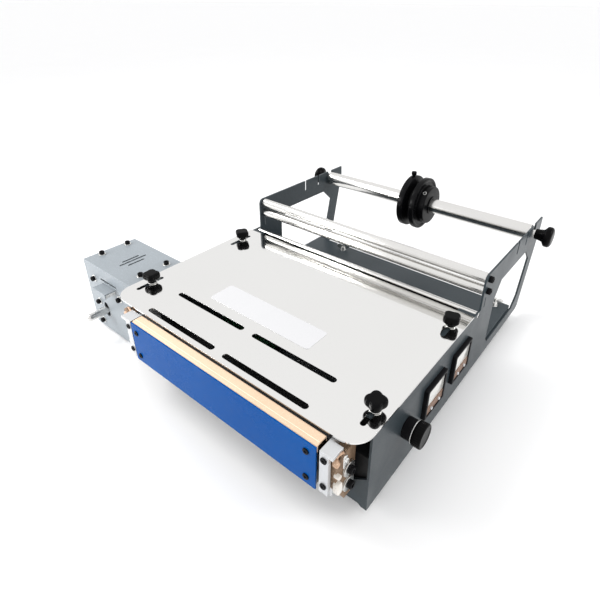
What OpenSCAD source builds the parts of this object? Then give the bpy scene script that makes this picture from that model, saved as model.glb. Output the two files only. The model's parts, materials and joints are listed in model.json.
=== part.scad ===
// Hot foil stamper, table-top: folded side plates, sliding steel deck, heated front nose bar,
// unwind shaft with core chuck and guide tubes. X across, Y to the rear, Z up, millimetres.
// The floor is Z = 0, the deck centre line is X = 0.

/* [Deck] */
// Width over the side plates and the deck
width = 450; // [430:5:480]
// Deck length, front to back
deck_len = 293; // [285:1:296]
// Deck top above the floor
deck_z = 135; // [130:1:150]
// Deck sheet thickness
deck_t = 2; // [1.5:0.1:3]
// Radius of the two front corners
corner_r = 28; // [10:1:34]
// Width of the four long slots
slot_w = 9; // [6:0.5:10]
// Width of the four clamp slots
clamp_slot_w = 7; // [6.6:0.1:8]

/* [Side plates] */
// Sheet thickness of the frame
plate_t = 3; // [2:0.5:4]
// Height of the raised rear frame over the deck
rise = 55; // [50:1:70]
// Foot height
foot_h = 12; // [10:1:16]

/* [Unwinder] */
// Foil shaft outer diameter
shaft_d = 28; // [24:1:30]
// Core chuck flange diameter
chuck_d = 102; // [80:2:104]
// Where the chuck sits along the shaft
chuck_x = -2; // [-100:1:100]
// Guide tube diameter
tube_d = 16; // [14:0.5:17]

/* [Heated nose] */
// Length of the heated bar and its covers
nose_len = 332; // [300:2:340]
// Sideways place of the nose middle
nose_x = 19.5; // [15:0.5:22]
// Height of the front cover
cover_h = 65; // [50:1:70]

/* [Drive] */
// Feed roller diameter
roller_d = 24.6; // [20:0.1:24.6]
// Motor box outer width
box_w = 141; // [135:1:160]

/* [Hidden] */
fn = 72;
sfn = 36;
// gap kept between pieces that move past each other
gap = 0.3;
run = 0.08;
hw = width / 2;
hi = hw - plate_t;
yf = -300;
front_y = yf + 25;
plate_z = foot_h;
deck_b = deck_z - deck_t;
flange_z = deck_b - gap;
frame_z = deck_z + rise;
post_y = yf + 318;
rear_y = yf + 587;
edge_slot_y = [yf + 457.5, yf + 502];
edge_slot_w = 5.6;
shaft_y = yf + 543;
shaft_z = deck_z + 39;
screw_x = chuck_x - 13.5;
tube_y = yf + 330;
tube_z1 = deck_z + 46;
tube_z2 = deck_z + 26;
stud_x = 207;
stud_y = [yf + 57.5, yf + 252.5];
clamp_slot_y = [yf + 53.5, yf + 248];
clamp_len = 48;
slot_x = [[-143.5, -13.5], [13.5, 143.5]];
slot_y = [yf + 12.5, yf + 65];
nose_l = nose_x - nose_len / 2;
nose_r = nose_x + nose_len / 2;
nose_top = deck_z - 3;
cover_top = deck_z - 4;
nose_yf = yf - 19;
beam_y = front_y + 4;
roller_y = yf + 96;
roller_z = deck_z - 74;
pinch_z = roller_z - 25;
box_r = -hw - 0.2;
box_l = box_r - box_w;
box_yf = yf + 28;
box_yr = yf + 128;
box_top = deck_z - 1.5;
box_bot = 3;
box_t = 1.5;
vent_w = 4;
hood_x = [-310, -273.5];
hood_z = deck_z - 27.5;
hood_out = 20;
lever_x = -320;
lever_r = 7;
lever_y = box_yf + 32;
lever_z = deck_z - 87;
meter_y = [yf + 176, yf + 259];
meter_z = deck_z - 55;
meter_w = 57;
meter_h = 50;
key_r = 2.2;
knob_y = yf + 105;
knob_z = deck_z - 55;
tray_z = deck_z - 97;
// sideways places of the tray wing nuts
wing_x = [-141, 200];
sock_z = deck_z - 26;
inlet_x = -334;
switch_x = -286;
box_top_pts = [[-357, yf + 57.5], [-357, yf + 107.5], [-240, yf + 57.5], [-240, yf + 107.5]];
box_front_pts = [[-340, deck_z - 30], [-340, deck_z - 77], [-340, deck_z - 117],
  [-266, deck_z - 43]];
nose_holes = [[nose_l + 11, -18], [nose_l + 11, -58], [nose_r - 13, -18], [nose_r - 13, -58]];
end_holes = [[nose_l - 9.3, -16], [nose_l - 9.3, -56], [nose_r + 9.7, -16], [nose_r + 9.7, -56]];

steel = [0.33, 0.38, 0.42];
black = [0.05, 0.05, 0.06];
bright = [0.80, 0.81, 0.82];
white = [0.92, 0.92, 0.91];
tan_c = [0.88, 0.72, 0.56];
blue = [0.03, 0.30, 0.66];
boxgrey = [0.62, 0.69, 0.74];
brown = [0.45, 0.30, 0.18];
rubber_c = [0.10, 0.10, 0.10];

// ---- shared shapes ----
// flat slot outline along X, len end to end
module slot2(len, w) {
  square([len - w, w], center = true);
  for (s = [-1, 1]) translate([s * (len - w) / 2, 0]) circle(d = w, $fn = sfn);
}
// cylinder along X from x0 to x1
module xcyl(x0, x1, r, y = 0, z = 0, n = fn) {
  translate([x0, y, z]) rotate([0, 90, 0]) cylinder(h = x1 - x0, r = r, $fn = n);
}
// cylinder along Y from y0 to y1
module ycyl(y0, y1, r, x = 0, z = 0, n = fn) {
  translate([x, y0, z]) rotate([-90, 0, 0]) cylinder(h = y1 - y0, r = r, $fn = n);
}
module box3(a, b) {
  translate(a) cube([b[0] - a[0], b[1] - a[1], b[2] - a[2]]);
}
// profile given in (Y, Z), made solid from x0 to x1
module yz(x0, x1) {
  translate([x0, 0, 0]) rotate([90, 0, 90]) linear_extrude(height = x1 - x0) children();
}
// socket screw, head up along +Z from 0, shank down
module cap_screw(d, head_d, head_h, len) {
  difference() {
    cylinder(h = head_h, d = head_d, $fn = sfn);
    translate([0, 0, head_h * 0.4]) cylinder(h = head_h, d = d * 0.85, $fn = 6);
  }
  translate([0, 0, -len]) cylinder(h = len + 0.01, d = d, $fn = sfn);
}

// ---- side plates ----
module plate_outline() {
  polygon([[front_y, plate_z], [front_y, flange_z], [post_y, flange_z],
    [post_y, frame_z - 8], [post_y + 3, frame_z - 2], [post_y + 8, frame_z],
    [rear_y, frame_z], [rear_y + 1, frame_z - 18], [rear_y - 32, deck_z - 108],
    [rear_y - 35, plate_z + 4], [rear_y - 42, plate_z]]);
}
module plate_window() {
  polygon([[yf + 378, deck_z - 13], [yf + 398, deck_z + 13], [yf + 521, deck_z + 12],
    [yf + 548, deck_z - 13], [yf + 531, deck_z - 85], [yf + 512, deck_z - 104],
    [yf + 389, deck_z - 104], [yf + 378, deck_z - 92]]);
}
// distance in from the plate, height
gusset = [[0, deck_z - 71], [0, plate_z], [5, plate_z], [9, plate_z + 3], [25, plate_z + 3],
  [25, deck_z - 90]];
module side_plate(s) {
  x0 = s > 0 ? hi : -hw;
  in0 = s > 0 ? hi - 24 : -hi;
  difference() {
    union() {
      yz(x0, x0 + plate_t) difference() {
        plate_outline();
        plate_window();
        for (y = edge_slot_y) translate([y - edge_slot_w / 2, frame_z - 20]) square([edge_slot_w, 30]);
        for (y = edge_slot_y) translate([y, frame_z - 20]) circle(d = edge_slot_w, $fn = sfn);
        translate([yf + 328.5, deck_z - 3]) square([3, 18]);
        translate([shaft_y - 7 - run, shaft_z]) square([14 + 2 * run, 40]);
      }
      // folded front gusset
      translate([0, front_y + plate_t, 0]) rotate([90, 0, 0]) linear_extrude(height = plate_t)
        polygon([for (p = gusset) [s * (hi + 0.01 - p[0]), p[1]]]);
      // folded flange under the deck
      box3([in0, front_y + 22, flange_z - plate_t], [in0 + 24, post_y - 14, flange_z]);
      // folded foot flange
      box3([in0, front_y + 8, plate_z], [in0 + 24, rear_y - 60, plate_z + plate_t]);
    }
    // journal seat of the foil shaft
    xcyl(x0 - 1, x0 + plate_t + 1, 7 + run, shaft_y, shaft_z);
    for (z = [tube_z1, tube_z2]) xcyl(x0 - 1, x0 + plate_t + 1, 3, tube_y, z);
    xcyl(x0 - 1, x0 + plate_t + 1, 5, yf + 312, deck_z - 8);
    if (s < 0) for (z = [roller_z, pinch_z]) xcyl(x0 - 1, x0 + plate_t + 1, 8, roller_y, z);
    for (y = stud_y) translate([s * stud_x, y, flange_z - 10]) cylinder(h = 20, d = 6, $fn = sfn);
    for (y = [front_y + 30, rear_y - 90]) translate([s * (hi - 12), y, 0])
      cylinder(h = 40, d = 5, $fn = sfn);
    if (s > 0) {
      for (y = meter_y) box3([hi - 5, y - 22.5, meter_z - 21], [hw + 5, y + 22.5, meter_z + 21]);
      xcyl(hi - 1, hw + 1, 5, knob_y, knob_z);
    }
    if (s < 0) xcyl(-hw - 1, -hi + 1, 8, yf + 112, deck_z - 20);
  }
}
module side_plate_left() color(steel) side_plate(-1);
module side_plate_right() color(steel) side_plate(1);

// ---- frame ----
module base_pan() color(steel) {
  w = hi - 0.4;
  difference() {
    union() {
      box3([-w, front_y + 34, plate_z + plate_t], [w, rear_y - 86, plate_z + plate_t + 2]);
      box3([-w, front_y + 34, plate_z + plate_t], [w, front_y + 36, plate_z + 30]);
      box3([-w + 3, rear_y - 88, plate_z + plate_t], [w - 3, rear_y - 86, plate_z + 16]);
    }
    for (s = [-1, 1]) for (y = [front_y + 60, rear_y - 140]) translate([s * (hi - 12), y, 10])
      cylinder(h = 30, d = 4, $fn = sfn);
    for (i = [-5:5]) translate([i * 22, -40, plate_z]) rotate([0, 0, 90]) linear_extrude(height = 12)
      slot2(60, 5);
    for (s = [-1, 1]) for (y = [front_y + 30, rear_y - 90]) translate([s * (hi - 12), y, 10])
      cylinder(h = 40, d = 10, $fn = sfn);
  }
}
module rear_tray() color(steel) {
  w = hi - 0.4;
  difference() {
    union() {
      box3([-w, post_y + 14, tray_z - 2], [w, yf + 508, tray_z]);
      box3([-w, post_y + 14, tray_z - 2], [w, post_y + 16, tray_z + 40]);
      box3([-w, yf + 506, tray_z - 14], [w, yf + 508, tray_z]);
      for (s = [-1, 1]) box3([s > 0 ? w - 2 : -w, post_y + 14, tray_z - 16],
        [s > 0 ? w : -w + 2, yf + 508, tray_z]);
    }
    for (x = wing_x) translate([x, yf + 490, tray_z - 10]) cylinder(h = 20, d = 5, $fn = sfn);
  }
}
module front_beam() color(steel) {
  w = hi - 0.4;
  box3([-w, beam_y, deck_z - 104], [w, beam_y + 2, deck_z - 42]);
  box3([-w, beam_y, deck_z - 104], [w, beam_y + 18, deck_z - 102]);
  box3([-w, beam_y, deck_z - 44], [w, beam_y + 18, deck_z - 42]);
}
module rubber_feet() color(rubber_c) for (s = [-1, 1]) for (y = [front_y + 30, rear_y - 90])
  translate([s * (hi - 12), y, 0]) difference() {
    cylinder(h = foot_h, d1 = 20, d2 = 23, $fn = fn);
    translate([0, 0, -1]) cylinder(h = 6, d = 11, $fn = sfn);
    cylinder(h = 30, d = 5, $fn = sfn);
  }
module frame_screws() color(black) {
  for (s = [-1, 1]) for (y = [front_y + 30, rear_y - 90]) translate([s * (hi - 12), y, 1.5]) {
    cylinder(h = 3.5, d = 9, $fn = sfn);
    cylinder(h = foot_h + 8, d = 5, $fn = sfn);
  }
  for (s = [-1, 1]) for (y = [front_y + 60, rear_y - 140])
    translate([s * (hi - 12), y, plate_z + plate_t + 2]) {
      cylinder(h = 3, d = 7, $fn = sfn);
      translate([0, 0, -2]) cylinder(h = 3, d = 4, $fn = sfn);
    }
}
module tray_wing_nuts() color(bright) for (x = wing_x) translate([x, yf + 490, tray_z]) {
  translate([0, 0, -8]) cylinder(h = 24, d = 5, $fn = sfn);
  cylinder(h = 1.2, d = 12, $fn = sfn);
  translate([0, 0, 1.2]) cylinder(h = 7, d1 = 11, d2 = 8, $fn = sfn);
  for (t = [-1, 1]) rotate([0, 0, 30]) translate([t * 7.5, 1.1, 9]) rotate([90, 0, 0])
    linear_extrude(height = 2.2) difference() {
      circle(r = 6, $fn = sfn);
      translate([-t * 5.9, -6]) square([6, 6], center = true);
    }
}

// ---- heated nose ----
module heater_bar() color(bright) difference() {
  union() {
    box3([nose_l + 2, nose_yf, deck_z - 66], [nose_r - 2, yf + 4, deck_z - 14]);
    box3([nose_l + 2, nose_yf + 2.6, deck_z - 14.1], [nose_r - 2, yf - 4.1, deck_z - 5.6]);
  }
  for (z = [-30, -48]) xcyl(nose_l - 1, nose_r + 1, 5, yf - 2, deck_z + z, sfn);
  for (p = nose_holes) ycyl(nose_yf - 1, nose_yf + 8, 2.4, p[0], deck_z + p[1], sfn);
}
module nose_cover() color(tan_c) yz(nose_l + 0.5, nose_r - 0.5) difference() {
  union() {
    translate([nose_yf + 0.1, deck_z - 14]) square([17.4, 7]);
    translate([nose_yf + 4.1, deck_z - 14]) square([11.4, 11]);
    translate([nose_yf + 4.1, deck_z - 7]) circle(r = 4, $fn = sfn);
    translate([nose_yf + 13.5, deck_z - 7]) circle(r = 4, $fn = sfn);
  }
  translate([nose_yf + 2.5, deck_z - 15]) square([12.5, 9.5]);
}
module front_cover() color(blue) difference() {
  box3([nose_l, yf - 21, cover_top - cover_h], [nose_r, nose_yf, cover_top - 0.6]);
  for (p = nose_holes) ycyl(yf - 22, yf - 18, 2.6, p[0], deck_z + p[1], sfn);
}
module nose_screws() color(black) {
  for (p = nose_holes) translate([p[0], yf - 21, deck_z + p[1]]) rotate([90, 0, 0])
    cap_screw(4.8, 8, 1.6, 8);
  for (p = end_holes) translate([p[0], yf - 20, deck_z + p[1]]) rotate([90, 0, 0])
    cap_screw(4.8, 8, 1.6, 4.9);
}
// end bracket: front strip, web and top flange; xa is its inner end, s its side
module bracket(s, xa, top_len) {
  x0 = s > 0 ? xa : xa - 11.5;
  w0 = s > 0 ? xa : xa - 4;
  t0 = s > 0 ? xa : xa - top_len;
  difference() {
    union() {
      box3([x0, yf - 20, deck_z - 68], [x0 + 11.5, yf - 15, deck_z - 5]);
      box3([w0, yf - 15.1, deck_z - 68], [w0 + 4, beam_y, deck_z - 5]);
      box3([w0, yf, deck_z - 98], [w0 + 4, beam_y, deck_z - 60]);
      box3([t0, yf - 20, deck_z - 9], [t0 + top_len, yf - 1.5, deck_z - 5]);
    }
    for (p = end_holes) ycyl(yf - 21, yf - 14, 2.6, p[0], deck_z + p[1], sfn);
    for (z = [-48, -72]) xcyl(w0 - 1, w0 + 5, 3.1, yf + 10, deck_z + z, sfn);
  }
}
module bracket_left() color(bright) bracket(-1, nose_l - 3.5, 22);
module bracket_right() color(bright) bracket(1, nose_r + 4, 17);
ins_l = nose_l - 19.6;
ins_r = nose_r + 8.1;
module insulator(x0) difference() {
  yz(x0, x0 + 12) polygon([[yf - 12, deck_z - 62], [yf - 12, deck_z - 26], [yf - 4, deck_z - 18],
    [yf + 24, deck_z - 18], [yf + 24, deck_z - 96], [yf + 6, deck_z - 96]]);
  for (z = [-48, -72]) xcyl(x0 - 1, x0 + 13, 3.1, yf + 10, deck_z + z, sfn);
}
module insulator_left() color(brown) insulator(ins_l);
module insulator_right() color(brown) insulator(ins_r);
// washers and screws stand on the outer face of each insulator
module on_insulators() {
  translate([ins_r + 12, yf + 10, deck_z]) rotate([0, 90, 0]) children();
  translate([ins_l, yf + 10, deck_z]) rotate([0, -90, 0]) rotate(180) children();
}
module insulator_washers() color(bright) on_insulators() for (z = [48, 72]) for (h = [0, 1.7])
  translate([z, 0, h]) difference() {
    cylinder(h = 1.4, r = 10, $fn = fn);
    translate([0, 0, -1]) cylinder(h = 4, r = 3.1, $fn = sfn);
  }
module insulator_screws() color(black) on_insulators() for (z = [48, 72])
  translate([z, 0, 3.2]) cap_screw(6, 10, 5, 19);
module heater_rods() color(bright) for (z = [-30, -48])
  xcyl(nose_l + 12, nose_r + 1, 4.9, yf - 2, deck_z + z, sfn);

// ---- drive ----
module gear2(teeth, m) {
  circle(r = m * teeth / 2 - 1.2 * m, $fn = fn);
  for (i = [0:teeth - 1]) rotate(i * 360 / teeth) polygon([[m * teeth / 2 - 1.5 * m, -0.85 * m],
    [m * teeth / 2 + 0.8 * m, -0.32 * m], [m * teeth / 2 + 0.8 * m, 0.32 * m],
    [m * teeth / 2 - 1.5 * m, 0.85 * m]]);
}
module feed_roller() color(rubber_c) {
  xcyl(-200, 190, roller_d / 2, roller_y, roller_z);
  xcyl(-236, -199.9, 5, roller_y, roller_z);
  xcyl(189.9, hi - 1.2, 5, roller_y, roller_z);
  translate([196, roller_y, roller_z]) rotate([0, 90, 0]) linear_extrude(height = 8) gear2(20, 1.25);
}
module pinch_roller() color(rubber_c) {
  xcyl(-200, 190, roller_d / 2, roller_y, pinch_z);
  xcyl(-224, -199.9, 5, roller_y, pinch_z);
  xcyl(189.9, hi - 1.2, 5, roller_y, pinch_z);
  translate([196, roller_y, pinch_z]) rotate([9, 0, 0]) rotate([0, 90, 0])
    linear_extrude(height = 8) gear2(20, 1.25);
}
// flanged through bushes on the left, blind cups against the right plate
module roller_bushes() color([0.72, 0.55, 0.30]) for (z = [roller_z, pinch_z]) {
  difference() {
    union() {
      xcyl(-hw, -hi, 8, roller_y, z);
      xcyl(-hi, -hi + 2, 11, roller_y, z);
    }
    xcyl(-hw - 1, -hi + 3, 5 + run, roller_y, z);
  }
  difference() {
    xcyl(hi - 9, hi, 10, roller_y, z);
    xcyl(hi - 10, hi - 0.8, 5 + run, roller_y, z);
  }
}
module shaft_coupling() color(bright) {
  difference() {
    xcyl(-262.9, -231, 10, roller_y, roller_z);
    xcyl(-236.1, -230, 5, roller_y, roller_z);
    difference() {
      xcyl(-247.6, -246.4, 11, roller_y, roller_z);
      xcyl(-248, -246, 8, roller_y, roller_z);
    }
  }
  xcyl(-289, -262.8, 4, roller_y, roller_z);
}
module gear_motor() color([0.25, 0.27, 0.29]) difference() {
  union() {
    xcyl(-352, -306, 22, roller_y, roller_z);
    box3([-306.1, roller_y - 25, roller_z - 25], [-268, roller_y + 25, roller_z + 25]);
    box3([-300, roller_y - 27, box_bot + 3], [-286, roller_y + 27, roller_z - 24.9]);
    xcyl(-268.1, -263.3, 12, roller_y, roller_z);
  }
  xcyl(-290, -260, 4 + run, roller_y, roller_z);
}

// ---- motor box ----
module motor_box() color(boxgrey) difference() {
  union() {
    box3([box_l, box_yf, box_bot], [box_r, box_yr, box_top]);
    box3([hood_x[0], box_yf - hood_out, hood_z - 9], [hood_x[1], box_yf + 0.1, hood_z]);
  }
  // hood under the front slit, open at its right end and below
  box3([hood_x[0] + box_t, box_yf - hood_out + box_t, hood_z - 10],
    [hood_x[1] + 1, box_yf - 0.1, hood_z - box_t]);
  box3([box_l + box_t, box_yf + box_t, box_bot - 1], [box_r + 1, box_yr - box_t, box_top - box_t]);
  // vent slots in the top
  for (v = [[-296, 79.5, 52], [-303.7, 79.5, 33], [-286.4, 79.5, 32]])
    translate([v[0], yf + v[1], box_top - 5]) rotate([0, 0, 90]) linear_extrude(height = 10)
      slot2(v[2], vent_w);
  // front slit, lever slot and cable slot
  translate([-294.5, box_yf + 5, deck_z - 23.6]) rotate([90, 0, 0]) linear_extrude(height = 10)
    slot2(48, vent_w - 0.6);
  translate([lever_x, box_yf + 5, lever_z]) rotate([90, 0, 0]) linear_extrude(height = 10)
    rotate(90) slot2(2 * lever_r + 15, 2 * lever_r + 1);
  for (p = box_top_pts) translate([p[0], p[1], box_top - 5]) cylinder(h = 10, d = 5, $fn = sfn);
  for (p = box_front_pts) ycyl(box_yf - 3, box_yf + 3, 2.5, p[0], p[1], sfn);
  // inlet and switch openings at the rear
  box3([inlet_x - 14, box_yr - 3, sock_z - 10], [inlet_x + 14, box_yr + 3, sock_z + 10]);
  box3([switch_x - 7, box_yr - 3, sock_z - 9], [switch_x + 7, box_yr + 3, sock_z + 9]);
}
module motor_base() color(boxgrey) difference() {
  box3([box_l + box_t + 0.1, box_yf + box_t + 0.1, box_bot], [box_r, box_yr - box_t - 0.1, box_bot + 3]);
  box3([-250, box_yf + 40, box_bot - 1], [-240, box_yf + 60, box_bot + 4]);
}
module box_screws() color(black) {
  for (p = box_top_pts) translate([p[0], p[1], box_top + 1]) cap_screw(5, 8.6, 5, 9);
  for (p = box_front_pts) translate([p[0], box_yf - 1, p[1]]) rotate([90, 0, 0])
    cap_screw(5, 8.6, 5, 9);
}
module box_washers() color(bright) {
  for (p = box_top_pts) translate([p[0], p[1], box_top]) difference() {
    cylinder(h = 1, d = 12.5, $fn = sfn);
    translate([0, 0, -1]) cylinder(h = 3, d = 5.1, $fn = sfn);
  }
  for (p = box_front_pts) difference() {
    ycyl(box_yf - 1, box_yf, 6.2, p[0], p[1], sfn);
    ycyl(box_yf - 2, box_yf + 1, 2.55, p[0], p[1], sfn);
  }
}
module lever_stand() color(steel) {
  box3([lever_x - 16, lever_y - 12, box_bot + 3], [lever_x + 16, lever_y + 10, box_bot + 6]);
  for (s = [-1, 1]) yz(lever_x + s * 13 - 2, lever_x + s * 13 + 2) union() {
    translate([lever_y - 10, box_bot + 3]) square([20, lever_z - box_bot - 3]);
    translate([lever_y, lever_z]) circle(r = 10, $fn = fn);
  }
  xcyl(lever_x - 14, lever_x + 14, 4, lever_y, lever_z);
}
module lever_hub() color(bright) difference() {
  union() {
    xcyl(lever_x - 9, lever_x + 9, 10, lever_y, lever_z);
    box3([lever_x - 7, lever_y - 20, lever_z - 7], [lever_x + 7, lever_y - 5, lever_z + 7]);
  }
  xcyl(lever_x - 15, lever_x + 15, 4 + run, lever_y, lever_z);
  ycyl(lever_y - 21, lever_y - 12, 4, lever_x, lever_z, sfn);
}
module lever_rod() color(bright) {
  ycyl(lever_y - 64, lever_y - 20, lever_r, lever_x, lever_z);
  ycyl(lever_y - 20.1, lever_y - 12, 4, lever_x, lever_z, sfn);
  translate([lever_x, lever_y - 64, lever_z]) sphere(r = lever_r, $fn = sfn);
}
module power_inlet() color(black) difference() {
  union() {
    box3([inlet_x - 13.8, box_yr - 20, sock_z - 9.8], [inlet_x + 13.8, box_yr + 0.1, sock_z + 9.8]);
    box3([inlet_x - 17, box_yr, sock_z - 13], [inlet_x + 17, box_yr + 2.5, sock_z + 13]);
  }
  box3([inlet_x - 11.5, box_yr - 14, sock_z - 7.5], [inlet_x + 11.5, box_yr + 3, sock_z + 7.5]);
}
module switch_frame() color(black) difference() {
  union() {
    box3([switch_x - 6.8, box_yr - 16, sock_z - 8.8], [switch_x + 6.8, box_yr + 0.1, sock_z + 8.8]);
    box3([switch_x - 9, box_yr, sock_z - 11], [switch_x + 9, box_yr + 2, sock_z + 11]);
  }
  box3([switch_x - 5.6, box_yr - 14, sock_z - 7.8], [switch_x + 5.6, box_yr + 3, sock_z + 7.8]);
}
module rocker() color(rubber_c) yz(switch_x - 5.2, switch_x + 5.2) union() {
  translate([box_yr - 3, sock_z]) circle(r = 7, $fn = fn);
  translate([box_yr - 3, sock_z - 1.2]) square([8, 2.4]);
}
module control_board() color([0.10, 0.30, 0.16]) translate([-160, yf + 128, plate_z + plate_t + 2]) {
  for (x = [6, 114]) for (y = [6, 84]) translate([x, y, 0]) cylinder(h = 8, d = 6, $fn = sfn);
  translate([0, 0, 7.9]) cube([120, 90, 1.7]);
  translate([10, 14, 9.5]) cube([34, 40, 26]);
  translate([54, 14, 9.5]) cube([3, 50, 22]);
  for (y = [20, 40, 60]) translate([78, y, 9.5]) cylinder(h = 18, d = 13, $fn = sfn);
  translate([100, 16, 9.5]) cube([10, 56, 11]);
}

// ---- instruments ----
module meter(y) difference() {
  union() {
    box3([hw, y - meter_w / 2, meter_z - meter_h / 2], [hw + 6, y + meter_w / 2,
      meter_z + meter_h / 2]);
    box3([hi - 46, y - 22, meter_z - 20.5], [hw + 0.1, y + 22, meter_z + 20.5]);
  }
  box3([hw + 3.5, y - 23, meter_z - 7], [hw + 7, y + 23, meter_z + 20]);
  for (i = [-1, 1]) xcyl(hw - 1, hw + 7, key_r + 0.3, y + i * 11, meter_z - 15, sfn);
}
module meter_front() color(black) meter(meter_y[0]);
module meter_rear() color(black) meter(meter_y[1]);
module meter_screens() color(white) for (y = meter_y)
  box3([hw + 3.5, y - 22.9, meter_z - 6.9], [hw + 4.6, y + 22.9, meter_z + 19.9]);
module key(i, j) color(brown) xcyl(hw, hw + 7.2, key_r, meter_y[i] + j * 11, meter_z - 15, sfn);
module key_f1() key(0, -1);
module key_f2() key(0, 1);
module key_r1() key(1, -1);
module key_r2() key(1, 1);
module speed_pot() color(black) difference() {
  union() {
    xcyl(hi - 10, hi, 8, knob_y, knob_z);
    xcyl(hi - 0.1, hw, 4.9, knob_y, knob_z);
    xcyl(hw, hw + 12, 14, knob_y, knob_z);
  }
  xcyl(hi - 8, hw + 20, 3 + run, knob_y, knob_z, sfn);
}
module speed_ring() color(bright) difference() {
  xcyl(hw + 12.3, hw + 13.5, 15.3, knob_y, knob_z);
  xcyl(hw + 12, hw + 14, 3, knob_y, knob_z, sfn);
}
module speed_knob() color(black) {
  xcyl(hi - 7, hw + 15, 3, knob_y, knob_z, sfn);
  difference() {
    xcyl(hw + 13.5, hw + 26, 16, knob_y, knob_z);
    for (i = [0:23]) translate([0, knob_y, knob_z]) rotate([i * 15, 0, 0])
      xcyl(hw + 16, hw + 27, 0.7, 16.4, 0, 13);
  }
}

// ---- unwinder ----
module foil_shaft() color(bright) difference() {
  union() {
    xcyl(-hi + 1, hi - 1, shaft_d / 2, shaft_y, shaft_z);
    xcyl(-hw - 3, hw + 3, 7, shaft_y, shaft_z);
  }
  xcyl(-hi + 12, hi - 12, shaft_d / 2 - 3, shaft_y, shaft_z);
  for (s = [-1, 1]) xcyl(s * hw - 18, s * hw + 18, 3, shaft_y, shaft_z, sfn);
}
module shaft_knobs() color(black) for (s = [-1, 1]) translate([s * (hw + 3), shaft_y, shaft_z])
  rotate([0, s * 90, 0]) {
    cylinder(h = 15, r1 = 9, r2 = 11, $fn = fn);
    translate([0, 0, 14.9]) cylinder(h = 3, r1 = 14, r2 = 18, $fn = fn);
    translate([0, 0, 17.8]) cylinder(h = 8, r = 18, $fn = fn);
    translate([0, 0, 25.7]) cylinder(h = 3, r1 = 18, r2 = 13, $fn = fn);
    translate([0, 0, -10]) cylinder(h = 10.1, r = 3, $fn = sfn);
  }
module core_chuck() color(black) difference() {
  translate([chuck_x, shaft_y, shaft_z]) rotate([0, 90, 0]) rotate_extrude($fn = fn)
    polygon([[shaft_d / 2 + run, -19], [chuck_d / 2 - 2, -19], [chuck_d / 2, -17],
      [chuck_d / 2, -10], [chuck_d / 2 - 2, -8], [34, -3], [34, 3], [chuck_d / 2 - 2, 7],
      [chuck_d / 2, 9], [chuck_d / 2, 15], [chuck_d / 2 - 2, 17], [37, 17], [37, 28], [34, 31],
      [shaft_d / 2 + run, 31]]);
  translate([screw_x, shaft_y, shaft_z]) cylinder(h = 60, r = 3 + run, $fn = sfn);
  for (a = [36, 216]) translate([chuck_x + 23, shaft_y, shaft_z]) rotate([a, 0, 0])
    cylinder(h = 60, r = 2.5, $fn = sfn);
}
module thumb_screw() color(black) translate([screw_x, shaft_y, shaft_z]) {
  translate([0, 0, shaft_d / 2 + 1]) cylinder(h = 39, r = 3, $fn = sfn);
  translate([0, 0, chuck_d / 2 + 1]) cylinder(h = 2.1, r1 = 3.6, r2 = 4.8, $fn = fn);
  translate([0, 0, chuck_d / 2 + 3]) cylinder(h = 6, r = 4.8, $fn = fn);
}
module guide_tube(z) difference() {
  xcyl(-hi + gap, hi - gap, tube_d / 2, tube_y, z);
  xcyl(-hi - 1, hi + 1, 4 + run, tube_y, z, sfn);
}
module tube_upper() color(bright) guide_tube(tube_z1);
module tube_lower() color(bright) guide_tube(tube_z2);
module tube_pins() color(black) for (s = [-1, 1]) for (z = [tube_z1, tube_z2])
  translate([s * hw, tube_y, z]) rotate([0, s * 90, 0]) {
    cap_screw(6, 10, 6, plate_t);
    translate([0, 0, -plate_t - 24]) cylinder(h = 24.01, r = 4, $fn = sfn);
  }
module deck_rod() color(bright) xcyl(-hw + 0.5, hw - 0.5, 5, yf + 312, deck_z - 8);

// ---- deck ----
module deck() color(white) translate([0, 0, deck_b]) linear_extrude(height = deck_t) difference() {
  union() {
    translate([-hw, yf + corner_r]) square([width, deck_len - corner_r]);
    translate([-hw + corner_r, yf]) square([width - 2 * corner_r, corner_r + 1]);
    for (s = [-1, 1]) translate([s * (hw - corner_r), yf + corner_r]) circle(r = corner_r, $fn = fn);
  }
  for (y = slot_y) for (x = slot_x) translate([(x[0] + x[1]) / 2, y])
    slot2(x[1] - x[0] + slot_w, slot_w);
  for (s = [-1, 1]) for (y = clamp_slot_y) translate([s * stud_x, y]) rotate(90)
    slot2(clamp_len, clamp_slot_w);
}
module label_plate() color([0.95, 0.95, 0.94]) translate([-9, yf + 109, deck_z])
  linear_extrude(height = 0.4) difference() {
    square([190, 44], center = true);
    for (s = [-1, 1]) for (t = [-1, 1]) translate([s * 95, t * 22]) difference() {
      square([10, 10], center = true);
      translate([-s * 5, -t * 5]) circle(r = 5, $fn = sfn);
    }
  }
module clamp_studs() color(bright) for (s = [-1, 1]) for (y = stud_y)
  translate([s * stud_x, y, flange_z - plate_t - 4]) {
    cylinder(h = 24, r = 3, $fn = sfn);
    cylinder(h = 4, r = 5.5, $fn = 6);
    translate([0, 0, deck_z + gap - flange_z + plate_t + 4]) cylinder(h = 1.4, r = 8.3, $fn = fn);
  }
module clamp_knob(x, y) color(black) translate([x, y, deck_z + gap + 1.4 + gap]) difference() {
  union() {
    cylinder(h = 7.5, r1 = 6.4, r2 = 8.4, $fn = fn);
    translate([0, 0, 7.4]) linear_extrude(height = 8.6) {
      circle(r = 10.4, $fn = fn);
      for (a = [45:90:315]) rotate(a) translate([9.6, 0]) circle(r = 4.6, $fn = sfn);
    }
  }
  translate([0, 0, -1]) cylinder(h = 14, r = 3 + run, $fn = sfn);
}
module clamp_knob_fl() clamp_knob(-stud_x, stud_y[0]);
module clamp_knob_fr() clamp_knob(stud_x, stud_y[0]);
module clamp_knob_rl() clamp_knob(-stud_x, stud_y[1]);
module clamp_knob_rr() clamp_knob(stud_x, stud_y[1]);

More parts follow.
